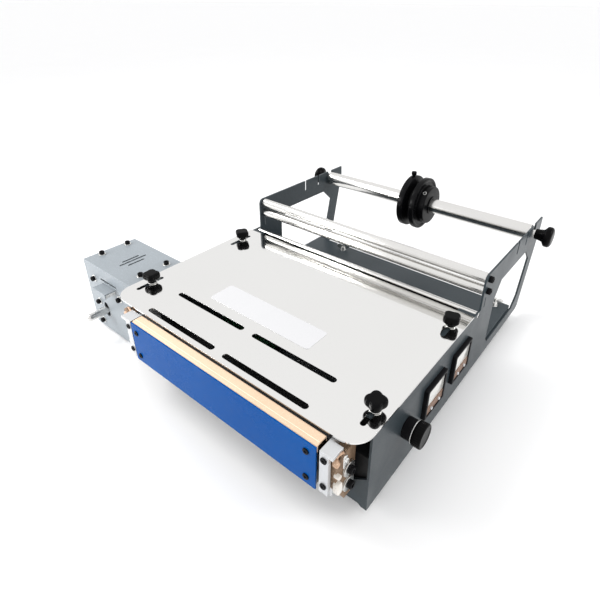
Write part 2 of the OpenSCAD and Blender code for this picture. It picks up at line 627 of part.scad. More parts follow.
side_plate_left();
side_plate_right();
base_pan();
rear_tray();
front_beam();
rubber_feet();
frame_screws();
tray_wing_nuts();
heater_bar();
nose_cover();
front_cover();
nose_screws();
bracket_left();
bracket_right();
insulator_left();
insulator_right();
insulator_washers();
insulator_screws();
heater_rods();
feed_roller();
pinch_roller();
gear_motor();
shaft_coupling();
roller_bushes();
motor_box();
motor_base();
box_screws();
box_washers();
lever_rod();
lever_hub();
lever_stand();
power_inlet();
switch_frame();
rocker();
control_board();
meter_front();
meter_rear();
meter_screens();
key_f1();
key_f2();
key_r1();
key_r2();
speed_pot();
speed_knob();
speed_ring();
foil_shaft();
shaft_knobs();
core_chuck();
thumb_screw();
tube_upper();
tube_lower();
tube_pins();
deck_rod();
deck();
label_plate();
clamp_studs();
clamp_knob_fl();
clamp_knob_fr();
clamp_knob_rl();
clamp_knob_rr();
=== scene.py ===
import json
import math

import bmesh
import bpy
import numpy as np
from mathutils import Matrix, Vector

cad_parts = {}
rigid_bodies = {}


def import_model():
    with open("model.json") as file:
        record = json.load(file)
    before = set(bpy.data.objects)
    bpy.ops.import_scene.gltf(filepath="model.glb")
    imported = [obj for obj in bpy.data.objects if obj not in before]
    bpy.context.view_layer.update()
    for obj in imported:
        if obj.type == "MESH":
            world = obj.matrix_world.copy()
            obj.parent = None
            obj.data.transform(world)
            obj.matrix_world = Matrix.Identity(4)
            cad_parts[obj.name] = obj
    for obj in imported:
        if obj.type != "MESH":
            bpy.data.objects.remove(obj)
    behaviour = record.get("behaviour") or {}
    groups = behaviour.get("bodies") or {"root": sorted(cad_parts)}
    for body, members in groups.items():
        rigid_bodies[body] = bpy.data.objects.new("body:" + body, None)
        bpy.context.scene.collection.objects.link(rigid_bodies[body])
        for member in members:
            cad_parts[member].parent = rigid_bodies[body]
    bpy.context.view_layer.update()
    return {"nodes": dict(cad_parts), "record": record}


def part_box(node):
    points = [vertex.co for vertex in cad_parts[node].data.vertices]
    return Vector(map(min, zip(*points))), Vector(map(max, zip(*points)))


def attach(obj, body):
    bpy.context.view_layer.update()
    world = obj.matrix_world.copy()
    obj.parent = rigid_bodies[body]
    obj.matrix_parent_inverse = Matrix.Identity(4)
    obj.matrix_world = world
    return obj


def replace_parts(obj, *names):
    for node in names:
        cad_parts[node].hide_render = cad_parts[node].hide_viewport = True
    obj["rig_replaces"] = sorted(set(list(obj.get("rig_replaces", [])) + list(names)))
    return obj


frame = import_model()
nodes = frame["nodes"]
MM = 0.001
TAU = 2 * math.pi


def box_mm(node):
    """Lowest and highest corner of a CAD node in millimetres."""
    lo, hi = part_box(node)
    return np.array(lo) / MM, np.array(hi) / MM


# ---------------------------------------------------------------- camera
CAM_PLACE = (0.3858, -0.580, 0.535)
CAM_AZIMUTH, CAM_PITCH, CAM_ROLL = (math.radians(a) for a in (38.367, 28.03, 0.62))


def make_camera():
    """Camera axes from azimuth, pitch and roll: forward is the level direction tipped down by the
    pitch, right is level, and both right and up are then turned by the roll."""
    level = Vector((-math.sin(CAM_AZIMUTH), math.cos(CAM_AZIMUTH), 0))
    right = Vector((math.cos(CAM_AZIMUTH), math.sin(CAM_AZIMUTH), 0))
    forward = level * math.cos(CAM_PITCH) - Vector((0, 0, 1)) * math.sin(CAM_PITCH)
    up = Vector((0, 0, 1)) * math.cos(CAM_PITCH) + level * math.sin(CAM_PITCH)
    c, s = math.cos(CAM_ROLL), math.sin(CAM_ROLL)
    right, up = right * c + up * s, up * c - right * s
    cam = bpy.data.objects.new("camera", bpy.data.cameras.new("camera"))
    cam.data.sensor_width = 36
    cam.data.lens = 28.29
    cam.data.shift_x, cam.data.shift_y = -0.0237, -0.0855
    cam.data.clip_start, cam.data.clip_end = 0.01, 200
    cam.matrix_world = Matrix.Translation(CAM_PLACE) @ Matrix(
        (right, up, -forward)).transposed().to_4x4()
    bpy.context.scene.collection.objects.link(cam)
    bpy.context.scene.camera = cam


make_camera()
bpy.context.scene.view_settings.view_transform = "Standard"


# ---------------------------------------------------------------- surfaces
def grid(rows, cols, close_rows=False, close_cols=False):
    """Four-sided faces over points numbered row by row; either direction may close on itself."""
    r, c = np.meshgrid(np.arange(rows - (not close_rows)), np.arange(cols - (not close_cols)),
                       indexing="ij")
    r1, c1 = (r + 1) % rows, (c + 1) % cols
    return np.stack([r * cols + c, r * cols + c1, r1 * cols + c1, r1 * cols + c],
                    -1).reshape(-1, 4)


def rounded(points, radii, steps=5, closed=True):
    """A line of corners with each corner rounded: from a radius before the corner to a radius
    after it runs the curve (1-t)^2 A + 2t(1-t) P + t^2 B. A radius of 0 keeps the corner."""
    p = np.array(points, float)
    radii = np.broadcast_to(np.array(radii, float), len(p))
    t = np.linspace(0, 1, steps)[:, None]
    out = []
    for i in range(len(p)):
        if radii[i] == 0 or (not closed and i in (0, len(p) - 1)):
            out.append(p[i:i + 1])
            continue
        back, ahead = p[i - 1] - p[i], p[(i + 1) % len(p)] - p[i]
        lb, la = np.linalg.norm(back), np.linalg.norm(ahead)
        a = p[i] + back / lb * min(radii[i], lb * 0.49)
        b = p[i] + ahead / la * min(radii[i], la * 0.49)
        out.append((1 - t) ** 2 * a + 2 * t * (1 - t) * p[i] + t ** 2 * b)
    return np.concatenate(out)


def spun(profile, segments=72, wave=0.0, count=0, closed=False):
    """A (radius, height) line spun about Z: x = r cos a, y = r sin a. wave and count make flutes,
    r times 1 + wave cos(count a); a third column in the line says how much of the wave it takes."""
    p = np.array(profile, float)
    a = np.linspace(0, TAU, segments, endpoint=False)[None, :]
    share = p[:, 2:3] if p.shape[1] > 2 else 1.0
    r = p[:, :1] * (1 + wave * share * np.cos(count * a))
    v = np.stack([r * np.cos(a), r * np.sin(a), np.broadcast_to(p[:, 1:2], r.shape)], -1)
    return v.reshape(-1, 3), grid(len(p), segments, closed, True)


def lobed(profile, lobes, depth, turn, segments=96):
    """A star-shaped knob: the radius is r less depth times share times
    1 - ((1 + cos(lobes (a - turn))) / 2)^0.75, so share 1 cuts the full hollows between the lobes
    and share 0 stays round."""
    p = np.array(profile, float)
    a = np.linspace(0, TAU, segments, endpoint=False)[None, :]
    dip = 1 - ((1 + np.cos(lobes * (a - turn))) / 2) ** 0.75
    r = np.maximum(p[:, :1] - depth * p[:, 2:3] * dip, 0)
    v = np.stack([r * np.cos(a), r * np.sin(a), np.broadcast_to(p[:, 1:2], r.shape)], -1)
    return v.reshape(-1, 3), grid(len(p), segments, False, True)


def inset(outline, d):
    """The outline moved inwards by d along the mean of its two side normals at each point."""
    e = np.roll(outline, -1, 0) - outline
    n = np.stack([-e[:, 1], e[:, 0]], 1)
    n /= np.maximum(np.linalg.norm(n, axis=1, keepdims=True), 1e-9)
    m = n + np.roll(n, 1, 0)
    m /= np.maximum((m * m).sum(1, keepdims=True) / 2, 0.35)
    return outline + m * d


def slab(outline, z0, z1, edge=0.4, steps=4):
    """An outline (anticlockwise) carried from z0 to z1. Near each end it pulls in by
    edge (1 - cos q) while it climbs edge sin q, which rounds the rim; the ends are closed."""
    o = np.array(outline, float)
    q = np.linspace(0, math.pi / 2, steps)
    d = edge * np.concatenate([1 - np.sin(q), 1 - np.cos(q)])
    z = np.concatenate([z0 + edge * (1 - np.cos(q)), z1 - edge * (1 - np.sin(q))])
    rings = [np.c_[inset(o, dd), np.full(len(o), zz)] for dd, zz in zip(d, z)]
    v = np.concatenate(rings)
    n, last = len(o), (len(rings) - 1) * len(o)
    f = grid(len(rings), n, False, True).tolist()
    return v, f + [list(range(n - 1, -1, -1)), list(range(last, last + n))]


def hollow_slab(outer, inner, z0, z1, edge=0.4):
    """A frame between two outlines of equal point count: the section runs up the outside, over a
    rounded rim, and down the inside, and closes on itself."""
    o, i = np.array(outer, float), np.array(inner, float)
    k = edge * 0.3
    ring = [(o, z0), (o, z1 - edge), (inset(o, k), z1 - k), (inset(o, edge), z1),
            (inset(i, -edge), z1), (inset(i, -k), z1 - k), (i, z1 - edge), (i, z0)]
    v = np.concatenate([np.c_[p, np.full(len(p), z)] for p, z in ring])
    return v, grid(len(ring), len(o), True, True)


def rect(x0, y0, x1, y1, r=1.0, steps=5):
    """Anticlockwise rectangle with rounded corners."""
    return rounded([[x0, y0], [x1, y0], [x1, y1], [x0, y1]], r, steps)


def ngon(radius, sides, turn=0.0):
    """Anticlockwise regular outline."""
    a = np.arange(sides) * TAU / sides + turn
    return np.c_[radius * np.cos(a), radius * np.sin(a)]


def tube_along(points, radius, sides=14, samples=40):
    """A round bar along a smooth line: points are joined by cubic curves through them, and a ring
    of points radius from the line is set square to it at each sample."""
    p = np.array(points, float)
    s = np.linspace(0, len(p) - 1, samples)
    i = np.clip(s.astype(int), 0, len(p) - 2)
    t = (s - i)[:, None]
    ext = np.concatenate([[2 * p[0] - p[1]], p, [2 * p[-1] - p[-2]]])
    a, b, c, d = ext[i], ext[i + 1], ext[i + 2], ext[i + 3]
    line = 0.5 * (2 * b + (c - a) * t + (2 * a - 5 * b + 4 * c - d) * t ** 2
                  + (3 * b - a - 3 * c + d) * t ** 3)
    tangent = np.gradient(line, axis=0)
    tangent /= np.linalg.norm(tangent, axis=1, keepdims=True)
    ref = np.array([0.31, 0.2, 0.93])
    u = np.cross(tangent, ref)
    u /= np.linalg.norm(u, axis=1, keepdims=True)
    w = np.cross(tangent, u)
    ang = np.linspace(0, TAU, sides, endpoint=False)[None, :, None]
    ring = line[:, None, :] + radius * (u[:, None, :] * np.cos(ang) + w[:, None, :] * np.sin(ang))
    v = ring.reshape(-1, 3)
    f = grid(samples, sides, False, True).tolist()
    n = (samples - 1) * sides
    return v, f + [list(range(sides - 1, -1, -1)), list(range(n, n + sides))]


def at(shape, place=(0, 0, 0), axis="+z", turn=0.0):
    """A shape turned about its own Z, then set so that its Z points along axis, then moved."""
    v, f = shape
    c, s = math.cos(turn), math.sin(turn)
    v = v @ np.array([[c, s, 0], [-s, c, 0], [0, 0, 1]])
    z = {"x": 0, "y": 1, "z": 2}[axis[1]]
    m = np.roll(np.eye(3), z + 1, axis=1)     # z axis goes to the named one, in cyclic order
    v = v @ m
    if axis[0] == "-":                         # half a turn about another axis keeps it a rotation
        flip = np.ones(3)
        flip[z] = flip[(z + 1) % 3] = -1
        v = v * flip
    return v + np.array(place, float), f


def joined(shapes):
    """Several shapes as one list of points and faces."""
    verts, faces, base = [], [], 0
    for v, f in shapes:
        verts.append(v)
        faces += [[i + base for i in face] for face in (f.tolist() if hasattr(f, "tolist") else f)]
        base += len(v)
    return np.concatenate(verts), faces


def piece(name, shapes, material, body, stands_for=(), smooth=35):
    """Millimetre shapes made into one mesh piece in metres, welded at seams and poles, faces
    outwards, smooth below the given angle, riding on a body."""
    v, f = joined(shapes if isinstance(shapes, list) else [shapes])
    mesh = bpy.data.meshes.new(name)
    mesh.from_pydata((v * MM).tolist(), [], f)
    bm = bmesh.new()
    bm.from_mesh(mesh)
    bmesh.ops.remove_doubles(bm, verts=bm.verts, dist=2e-6)
    bmesh.ops.recalc_face_normals(bm, faces=bm.faces)
    bm.to_mesh(mesh)
    bm.free()
    mesh.shade_smooth()
    mesh.set_sharp_from_angle(angle=math.radians(smooth))
    mesh.materials.append(material)
    obj = bpy.data.objects.new(name, mesh)
    bpy.context.scene.collection.objects.link(obj)
    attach(obj, body)
    if stands_for:
        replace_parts(obj, *stands_for)
    return obj


# ---------------------------------------------------------------- shader groups
def group(name, inputs, outputs):
    """An empty shader node group with the named sockets; kinds are F, C and V."""
    kinds = {"F": "NodeSocketFloat", "C": "NodeSocketColor", "V": "NodeSocketVector"}
    g = bpy.data.node_groups.new(name, "ShaderNodeTree")
    for label, kind, value in inputs:
        sock = g.interface.new_socket(label, in_out="INPUT", socket_type=kinds[kind])
        if value is not None:
            sock.default_value = value
    for label, kind in outputs:
        g.interface.new_socket(label, in_out="OUTPUT", socket_type=kinds[kind])
    return g, g.nodes.new("NodeGroupInput"), g.nodes.new("NodeGroupOutput")


def add(tree, kind, settings=None, links=None, **values):
    """A node with its settings, input values by name or number, and links to input sockets."""
    n = tree.nodes.new("ShaderNode" + kind)
    for k, val in (settings or {}).items():
        setattr(n, k, val)
    for k, val in values.items():
        n.inputs[k.replace("_", " ")].default_value = val
    for k, src in (links or {}).items():
        tree.links.new(src, n.inputs[k])
    return n


def math_node(tree, op, a, b=None, clamp=False):
    n = add(tree, "Math", {"operation": op, "use_clamp": clamp})
    for i, x in enumerate((a, b)):
        if x is None:
            continue
        if isinstance(x, (int, float)):
            n.inputs[i].default_value = x
        else:
            tree.links.new(x, n.inputs[i])
    return n.outputs[0]


def mix_colour(tree, factor, a, b, blend="MIX"):
    n = add(tree, "Mix", {"data_type": "RGBA", "blend_type": blend})
    for sock, x in ((n.inputs[0], factor), (n.inputs[6], a), (n.inputs[7], b)):
        if isinstance(x, (int, float, tuple)):
            sock.default_value = x
        else:
            tree.links.new(x, sock)
    return n.outputs[2]


def make_drift():
    """Slow change between two colours: a soft noise, sharpened round its middle."""
    g, i, o = group("colour_drift", [("Vector", "V", None), ("Colour A", "C", (1, 1, 1, 1)),
                                     ("Colour B", "C", (0, 0, 0, 1)), ("Scale", "F", 10.0),
                                     ("Amount", "F", 1.0)], [("Colour", "C"), ("Mask", "F")])
    n = add(g, "TexNoise", links={"Vector": i.outputs["Vector"], "Scale": i.outputs["Scale"]},
            Detail=4.0, Roughness=0.55)
    ramp = add(g, "MapRange", links={"Value": n.outputs["Fac"]}, From_Min=0.3, From_Max=0.7)
    m = math_node(g, "MULTIPLY", ramp.outputs[0], i.outputs["Amount"], True)
    g.links.new(mix_colour(g, m, i.outputs["Colour A"], i.outputs["Colour B"]), o.inputs["Colour"])
    g.links.new(m, o.inputs["Mask"])
    return g


def make_edge():
    """Worn edges: where the normal rounded over Radius leaves the true one, broken up by noise."""
    g, i, o = group("worn_edges", [("Vector", "V", None), ("Radius", "F", 0.0008),
                                   ("Amount", "F", 1.0)], [("Mask", "F")])
    b = add(g, "Bevel", {"samples": 4}, {"Radius": i.outputs["Radius"]})
    geo = add(g, "NewGeometry")
    dot = add(g, "VectorMath", {"operation": "DOT_PRODUCT"})
    g.links.new(b.outputs[0], dot.inputs[0])
    g.links.new(geo.outputs["Normal"], dot.inputs[1])
    off = math_node(g, "SUBTRACT", 1.0, dot.outputs["Value"])
    n = add(g, "TexNoise", links={"Vector": i.outputs["Vector"]}, Scale=260.0, Detail=3.0)
    rough = add(g, "MapRange", links={"Value": n.outputs["Fac"]}, From_Min=0.35, From_Max=0.62)
    m = math_node(g, "MULTIPLY", math_node(g, "MULTIPLY", off, 6.0, True), rough.outputs[0])
    g.links.new(math_node(g, "MULTIPLY", m, i.outputs["Amount"], True), o.inputs["Mask"])
    return g


def make_grain():
    """Fine surface relief: small round cells with a little noise over them."""
    g, i, o = group("fine_grain", [("Vector", "V", None), ("Scale", "F", 1500.0)],
                    [("Height", "F")])
    v = add(g, "TexVoronoi", {"feature": "SMOOTH_F1"},
            {"Vector": i.outputs["Vector"], "Scale": i.outputs["Scale"]})
    n = add(g, "TexNoise", links={"Vector": i.outputs["Vector"], "Scale": i.outputs["Scale"]},
            Detail=2.0)
    g.links.new(math_node(g, "ADD", v.outputs["Distance"], n.outputs["Fac"]), o.inputs["Height"])
    return g


def make_streaks():
    """Machining or polishing lines: noise on coordinates squeezed along one axis."""
    g, i, o = group("streaks", [("Vector", "V", None), ("Stretch", "V", (1.0, 1.0, 1.0)),
                                ("Scale", "F", 400.0)], [("Height", "F"), ("Mask", "F")])
    m = add(g, "VectorMath", {"operation": "MULTIPLY"})
    g.links.new(i.outputs["Vector"], m.inputs[0])
    g.links.new(i.outputs["Stretch"], m.inputs[1])
    n = add(g, "TexNoise", links={"Vector": m.outputs[0], "Scale": i.outputs["Scale"]},
            Detail=5.0, Roughness=0.6)
    r = add(g, "MapRange", links={"Value": n.outputs["Fac"]}, From_Min=0.3, From_Max=0.7)
    g.links.new(n.outputs["Fac"], o.inputs["Height"])
    g.links.new(r.outputs[0], o.inputs["Mask"])
    return g


def make_wipe():
    """Roughness that drifts between Low and High: broad smears with fine scratches in them."""
    g, i, o = group("wiped_gloss", [("Vector", "V", None), ("Low", "F", 0.1), ("High", "F", 0.3),
                                    ("Scale", "F", 14.0)], [("Roughness", "F")])
    broad = add(g, "TexNoise", links={"Vector": i.outputs["Vector"], "Scale": i.outputs["Scale"]},
                Detail=6.0, Distortion=0.8)
    fine = add(g, "TexNoise", links={"Vector": i.outputs["Vector"]}, Scale=700.0, Detail=2.0)
    both = math_node(g, "ADD", math_node(g, "MULTIPLY", broad.outputs["Fac"], 0.75),
                     math_node(g, "MULTIPLY", fine.outputs["Fac"], 0.25))
    r = add(g, "MapRange", links={"Value": both, "To Min": i.outputs["Low"],
                                  "To Max": i.outputs["High"]}, From_Min=0.35, From_Max=0.65)
    g.links.new(r.outputs[0], o.inputs["Roughness"])
    return g


def make_specks():
    """Scattered specks: the cells of a Voronoi pattern whose own random value passes Share."""
    g, i, o = group("specks", [("Vector", "V", None), ("Scale", "F", 500.0), ("Share", "F", 0.3)],
                    [("Mask", "F")])
    v = add(g, "TexVoronoi", links={"Vector": i.outputs["Vector"], "Scale": i.outputs["Scale"]})
    sep = add(g, "SeparateColor", links={0: v.outputs["Color"]})
    near = math_node(g, "LESS_THAN", v.outputs["Distance"], 0.42)
    pick = math_node(g, "LESS_THAN", sep.outputs[0], i.outputs["Share"])
    g.links.new(math_node(g, "MULTIPLY", near, pick), o.inputs["Mask"])
    return g


DRIFT, EDGE, GRAIN, STREAKS, WIPE, SPECKS = (
    make_drift(), make_edge(), make_grain(), make_streaks(), make_wipe(), make_specks())


# ---------------------------------------------------------------- finishes
class Finish:
    """One material: a Principled shader with a colour, a roughness and a relief chain."""

    def __init__(self, name, colour, second=None, drift=12.0, amount=0.6, metal=0.0, low=0.2,
                 high=0.4, smear=14.0, **sockets):
        self.mat = bpy.data.materials.new(name)
        self.mat.use_nodes = True
        self.tree = self.mat.node_tree
        self.bsdf = self.tree.nodes["Principled BSDF"]
        self.where = add(self.tree, "TexCoord").outputs["Object"]
        self.height = None
        self.bsdf.inputs["Metallic"].default_value = metal
        for k, val in sockets.items():
            self.bsdf.inputs[k.replace("_", " ")].default_value = val
        second = second or tuple(c * 0.8 for c in colour)
        d = self.use(DRIFT, Colour_A=(*colour, 1), Colour_B=(*second, 1), Scale=drift,
                     Amount=amount)
        self.colour = d.outputs["Colour"]
        w = self.use(WIPE, Low=low, High=high, Scale=smear)
        self.rough = w.outputs["Roughness"]

    def use(self, tree, **values):
        n = self.tree.nodes.new("ShaderNodeGroup")
        n.node_tree = tree
        self.tree.links.new(self.where, n.inputs["Vector"])
        for k, val in values.items():
            n.inputs[k.replace("_", " ")].default_value = val
        return n

    def tint(self, mask, colour, strength=1.0):
        """Lays another colour over where the mask says."""
        m = math_node(self.tree, "MULTIPLY", mask, strength, True)
        self.colour = mix_colour(self.tree, m, self.colour, (*colour, 1))
        return self

    def worn(self, colour, amount=0.6, radius=0.0008):
        return self.tint(self.use(EDGE, Radius=radius, Amount=amount).outputs["Mask"], colour)

    def specked(self, colour, scale=500.0, share=0.3, strength=1.0):
        return self.tint(self.use(SPECKS, Scale=scale, Share=share).outputs["Mask"], colour,
                         strength)

    def rougher(self, mask, by):
        self.rough = math_node(self.tree, "ADD", self.rough,
                               math_node(self.tree, "MULTIPLY", mask, by), True)
        return self

    def relief(self, height, strength, distance):
        n = add(self.tree, "Bump", links={"Height": height}, Strength=strength, Distance=distance)
        if self.height is not None:
            self.tree.links.new(self.height, n.inputs["Normal"])
        self.height = n.outputs["Normal"]
        return self

    def grained(self, scale=1500.0, strength=0.3, distance=0.00005):
        return self.relief(self.use(GRAIN, Scale=scale).outputs["Height"], strength, distance)

    def streaked(self, stretch, scale=400.0, strength=0.15, distance=0.00004, dark=0.0,
                 rough=0.05):
        n = self.use(STREAKS, Stretch=stretch, Scale=scale)
        if dark:
            self.tint(n.outputs["Mask"], (0.25, 0.25, 0.25), dark)
        self.rougher(n.outputs["Mask"], rough)
        return self.relief(n.outputs["Height"], strength, distance)

    def done(self):
        self.tree.links.new(self.colour, self.bsdf.inputs["Base Color"])
        self.tree.links.new(self.rough, self.bsdf.inputs["Roughness"])
        if self.height is not None:
            self.tree.links.new(self.height, self.bsdf.inputs["Normal"])
        return self.mat


SLATE = (0.036, 0.047, 0.054)
finish = {
    "frame_paint": Finish("frame_paint", SLATE, (0.028, 0.037, 0.043), 7, 0.8, low=0.3, high=0.42,
                          Specular_IOR_Level=0.16, Coat_Weight=0.12, Coat_Roughness=0.25)
    .worn((0.14, 0.165, 0.18), 0.5).specked((0.06, 0.075, 0.085), 900, 0.25, 0.5)
    .grained(1300, 0.35, 0.00006).done(),
    "deck_steel": Finish("deck_steel", (0.79, 0.785, 0.77), (0.765, 0.76, 0.745), 5, 0.5, 1.0,
                         0.03, 0.09, 9)
    .streaked((0.05, 1, 1), 700, 0.03, 0.00001, rough=0.02).done(),
    "nose_tan": Finish("nose_tan", (0.78, 0.57, 0.40), (0.71, 0.50, 0.34), 18, 0.7, low=0.45,
                       high=0.62).specked((0.93, 0.74, 0.56), 700, 0.25, 0.4).done(),
    "cover_blue": Finish("cover_blue", (0.0, 0.072, 0.29), (0.0, 0.058, 0.25), 8, 0.6,
                         low=0.2, high=0.3, Specular_IOR_Level=0.06)
    .worn((0.03, 0.18, 0.45), 0.5).grained(1400, 0.25, 0.00004).done(),
    "plain_alu": Finish("plain_alu", (0.66, 0.67, 0.68), (0.57, 0.58, 0.59), 20, 0.6, 0.75,
                        0.3, 0.45).worn((0.93, 0.93, 0.93), 0.8)
    .streaked((1, 1, 0.06), 900, 0.2, 0.00004, 0.12).done(),
    # heater_alu is set near-black, far darker than bare aluminium, so the heater bar stands for the
    # shaded gap line between the nose cover and the deck: painted shade.
    "heater_alu": Finish("heater_alu", (0.16, 0.15, 0.14), (0.10, 0.095, 0.09), 25, 0.8, 1.0,
                         0.3, 0.5).streaked((0.05, 1, 1), 900, 0.2, 0.00004, 0.15).done(),
    "insulator_brown": Finish("insulator_brown", (0.27, 0.175, 0.105), (0.15, 0.09, 0.05), 90,
                              1.0, low=0.5, high=0.7).specked((0.48, 0.34, 0.22), 480, 0.34, 0.8)
    .specked((0.03, 0.02, 0.012), 620, 0.2, 0.8).grained(900, 0.5, 0.0001).done(),
    "zinc": Finish("zinc", (0.80, 0.80, 0.78), (0.62, 0.61, 0.58), 60, 0.7, 1.0, 0.18, 0.38)
    .worn((0.95, 0.95, 0.94), 0.6).grained(1600, 0.2, 0.00003).done(),
    "polished_tube": Finish("polished_tube", (0.74, 0.73, 0.71), (0.69, 0.68, 0.66), 9, 0.5, 1.0,
                            0.17, 0.24).specked((0.62, 0.61, 0.59), 1400, 0.1, 0.3)
    .grained(1600, 0.03, 0.000005).done(),
    "turned_steel": Finish("turned_steel", (0.62, 0.63, 0.64), (0.5, 0.5, 0.5), 40, 0.6, 1.0,
                           0.2, 0.35).streaked((1, 0.1, 0.1), 1200, 0.25, 0.00004, 0.15).done(),
    "black_screw": Finish("black_screw", (0.006, 0.006, 0.007), (0.011, 0.011, 0.012), 90, 0.7,
                          low=0.25, high=0.4, Specular_IOR_Level=0.06)
    .worn((0.04, 0.04, 0.042), 0.5, 0.0004).grained(1800, 0.3, 0.00003).done(),
    "black_knob": Finish("black_knob", (0.0025, 0.0025, 0.0028), (0.005, 0.005, 0.005), 60, 0.6,
                         low=0.16, high=0.26, Specular_IOR_Level=0.05)
    .grained(1700, 0.22, 0.00004).done(),
    "black_case": Finish("black_case", (0.005, 0.005, 0.006), (0.009, 0.009, 0.010), 50, 0.6,
                         low=0.3, high=0.44, Specular_IOR_Level=0.06)
    .worn((0.03, 0.03, 0.032), 0.5).grained(1500, 0.4, 0.00006).done(),
    "chuck_black": Finish("chuck_black", (0.0025, 0.0025, 0.0028), (0.005, 0.005, 0.006), 40, 0.6,
                          low=0.22, high=0.34, Specular_IOR_Level=0.07, Coat_Weight=0.04,
                          Coat_Roughness=0.12)
    .worn((0.12, 0.12, 0.125), 0.5, 0.0006).streaked((1, 0.12, 0.12), 900, 0.2, 0.00003).done(),
    "box_paint": Finish("box_paint", (0.27, 0.30, 0.325), (0.24, 0.268, 0.29), 9, 0.7, low=0.32,
                        high=0.48, Coat_Weight=0.1, Coat_Roughness=0.3)
    .worn((0.56, 0.62, 0.66), 0.6, 0.0012).specked((0.39, 0.45, 0.49), 900, 0.3, 0.5)
    .grained(1200, 0.4, 0.00007).done(),
    "rubber_black": Finish("rubber_black", (0.011, 0.011, 0.011), (0.018, 0.018, 0.017), 40, 0.8,
                           low=0.6, high=0.85, Specular_IOR_Level=0.15)
    .grained(1100, 0.6, 0.0001).done(),
    "bush_bronze": Finish("bush_bronze", (0.50, 0.33, 0.14), (0.36, 0.23, 0.10), 60, 0.8, 1.0,
                          0.3, 0.5).specked((0.2, 0.12, 0.05), 1200, 0.3, 0.6).done(),
    "board_green": Finish("board_green", (0.02, 0.13, 0.05), (0.012, 0.09, 0.035), 60, 0.8,
                          low=0.25, high=0.4).specked((0.35, 0.3, 0.16), 350, 0.12).done(),
    "screen_pale": Finish("screen_pale", (0.78, 0.77, 0.73), (0.70, 0.69, 0.66), 30, 0.7, low=0.1,
                          high=0.2, Coat_Weight=0.5, Coat_Roughness=0.05).done(),
    "key_brown": Finish("key_brown", (0.22, 0.12, 0.075), (0.15, 0.08, 0.05), 120, 0.8, low=0.35,
                        high=0.5).specked((0.42, 0.27, 0.18), 700, 0.25, 0.6)
    .grained(1500, 0.3, 0.00004).done(),
    "label_white": Finish("label_white", (0.63, 0.63, 0.64), (0.605, 0.605, 0.615), 20, 0.5,
                          low=0.12, high=0.22, Coat_Weight=0.4, Coat_Roughness=0.06)
    .grained(900, 0.05, 0.00002).done(),
    # motor_dark also finishes the front beam; its near-black there stands for the shade inside the
    # frame above the gusset as well as dark paint: partly painted shade.
    "motor_dark": Finish("motor_dark", (0.012, 0.013, 0.014), (0.008, 0.008, 0.009), 30, 0.7,
                         low=0.4, high=0.55, Specular_IOR_Level=0.15)
    .grained(1200, 0.3, 0.00005).done(),
}
ceramic = Finish("ceramic", (0.80, 0.77, 0.72), (0.66, 0.60, 0.53), 70, 0.8, low=0.35, high=0.55)\
    .specked((0.5, 0.4, 0.3), 700, 0.12, 0.6).grained(900, 0.3, 0.00006).done()
baked_clay = Finish("baked_clay", (0.66, 0.43, 0.29), (0.44, 0.27, 0.17), 160, 1.0, low=0.5,
                    high=0.7).specked((0.85, 0.66, 0.48), 800, 0.3, 0.8)\
    .grained(800, 0.6, 0.00012).done()
slot_of = {p["node"]: p["material_slot"] for p in frame["record"]["subparts"]}
body_of = {n: b for b, members in frame["record"]["behaviour"]["bodies"].items() for n in members}


def dress(node, bevel):
    """A CAD node that stays: its finish, its facets welded, its edges given a small round."""
    obj = nodes[node]
    obj.data.materials.clear()
    obj.data.materials.append(finish[slot_of[node]])
    weld = obj.modifiers.new("weld", "WELD")
    weld.merge_threshold = 1e-5
    if bevel:
        flat = obj.modifiers.new("flat", "DECIMATE")
        flat.decimate_type = "DISSOLVE"
        flat.angle_limit = math.radians(0.2)
        b = obj.modifiers.new("edges", "BEVEL")
        b.width = bevel * MM
        b.segments = 2
        b.limit_method = "ANGLE"
        b.angle_limit = math.radians(40)
        b.use_clamp_overlap = True
        b.harden_normals = False
        w = obj.modifiers.new("shade", "WEIGHTED_NORMAL")
        w.keep_sharp = False
        w.weight = 80


def replace(node, shapes, material=None, smooth=35):
    """A detailed piece in place of one CAD node, on the same body, with the same finish."""
    return piece(node + "_shape", shapes, material or finish[slot_of[node]],
                 body_of[node], (node,), smooth)


# ---------------------------------------------------------------- fasteners
def socket_head(d, h, drive, depth=0.55, knurl=0.012):
    """A socket screw head from z = 0 up: rounded knurled rim, chamfered six-sided recess. The
    recess is a ring of points blended from the circle to the hexagon and carried down."""
    r = d / 2
    seg = 48
    a = np.linspace(0, TAU, seg, endpoint=False)
    hexr = drive / 2 / np.cos(a % (TAU / 6) - TAU / 12)
    rows = [(r * 0.2, 0, 0), (r * 0.95, 0, 0), (r, h * 0.08, 1), (r, h * 0.78, 1),
            (r * 0.965, h * 0.9, 0.5), (r * 0.88, h * 0.975, 0), (r * 0.8, h, 0)]
    rings = []
    for rr, z, k in rows:
        rad = rr * (1 + knurl * k * np.cos(24 * a))
        rings.append(np.c_[rad * np.cos(a), rad * np.sin(a), np.full(seg, z)])
    floor = h * (1 - depth)
    for share, z in ((1.12, h), (1.0, h - 0.024 * d), (1.0, floor), (0.02, floor - 0.3)):
        rad = hexr * share
        rings.append(np.c_[rad * np.cos(a), rad * np.sin(a), np.full(seg, z)])
    v = np.concatenate(rings)
    return v, grid(len(rings), seg, False, True)


def washer(r_out, r_in, z0, z1, round_=0.25, segments=64):
    """A flat ring whose section is a rectangle with rounded corners."""
    return spun(rounded([[r_in, z0], [r_out, z0], [r_out, z1], [r_in, z1]], round_, 4), segments,
                closed=True)


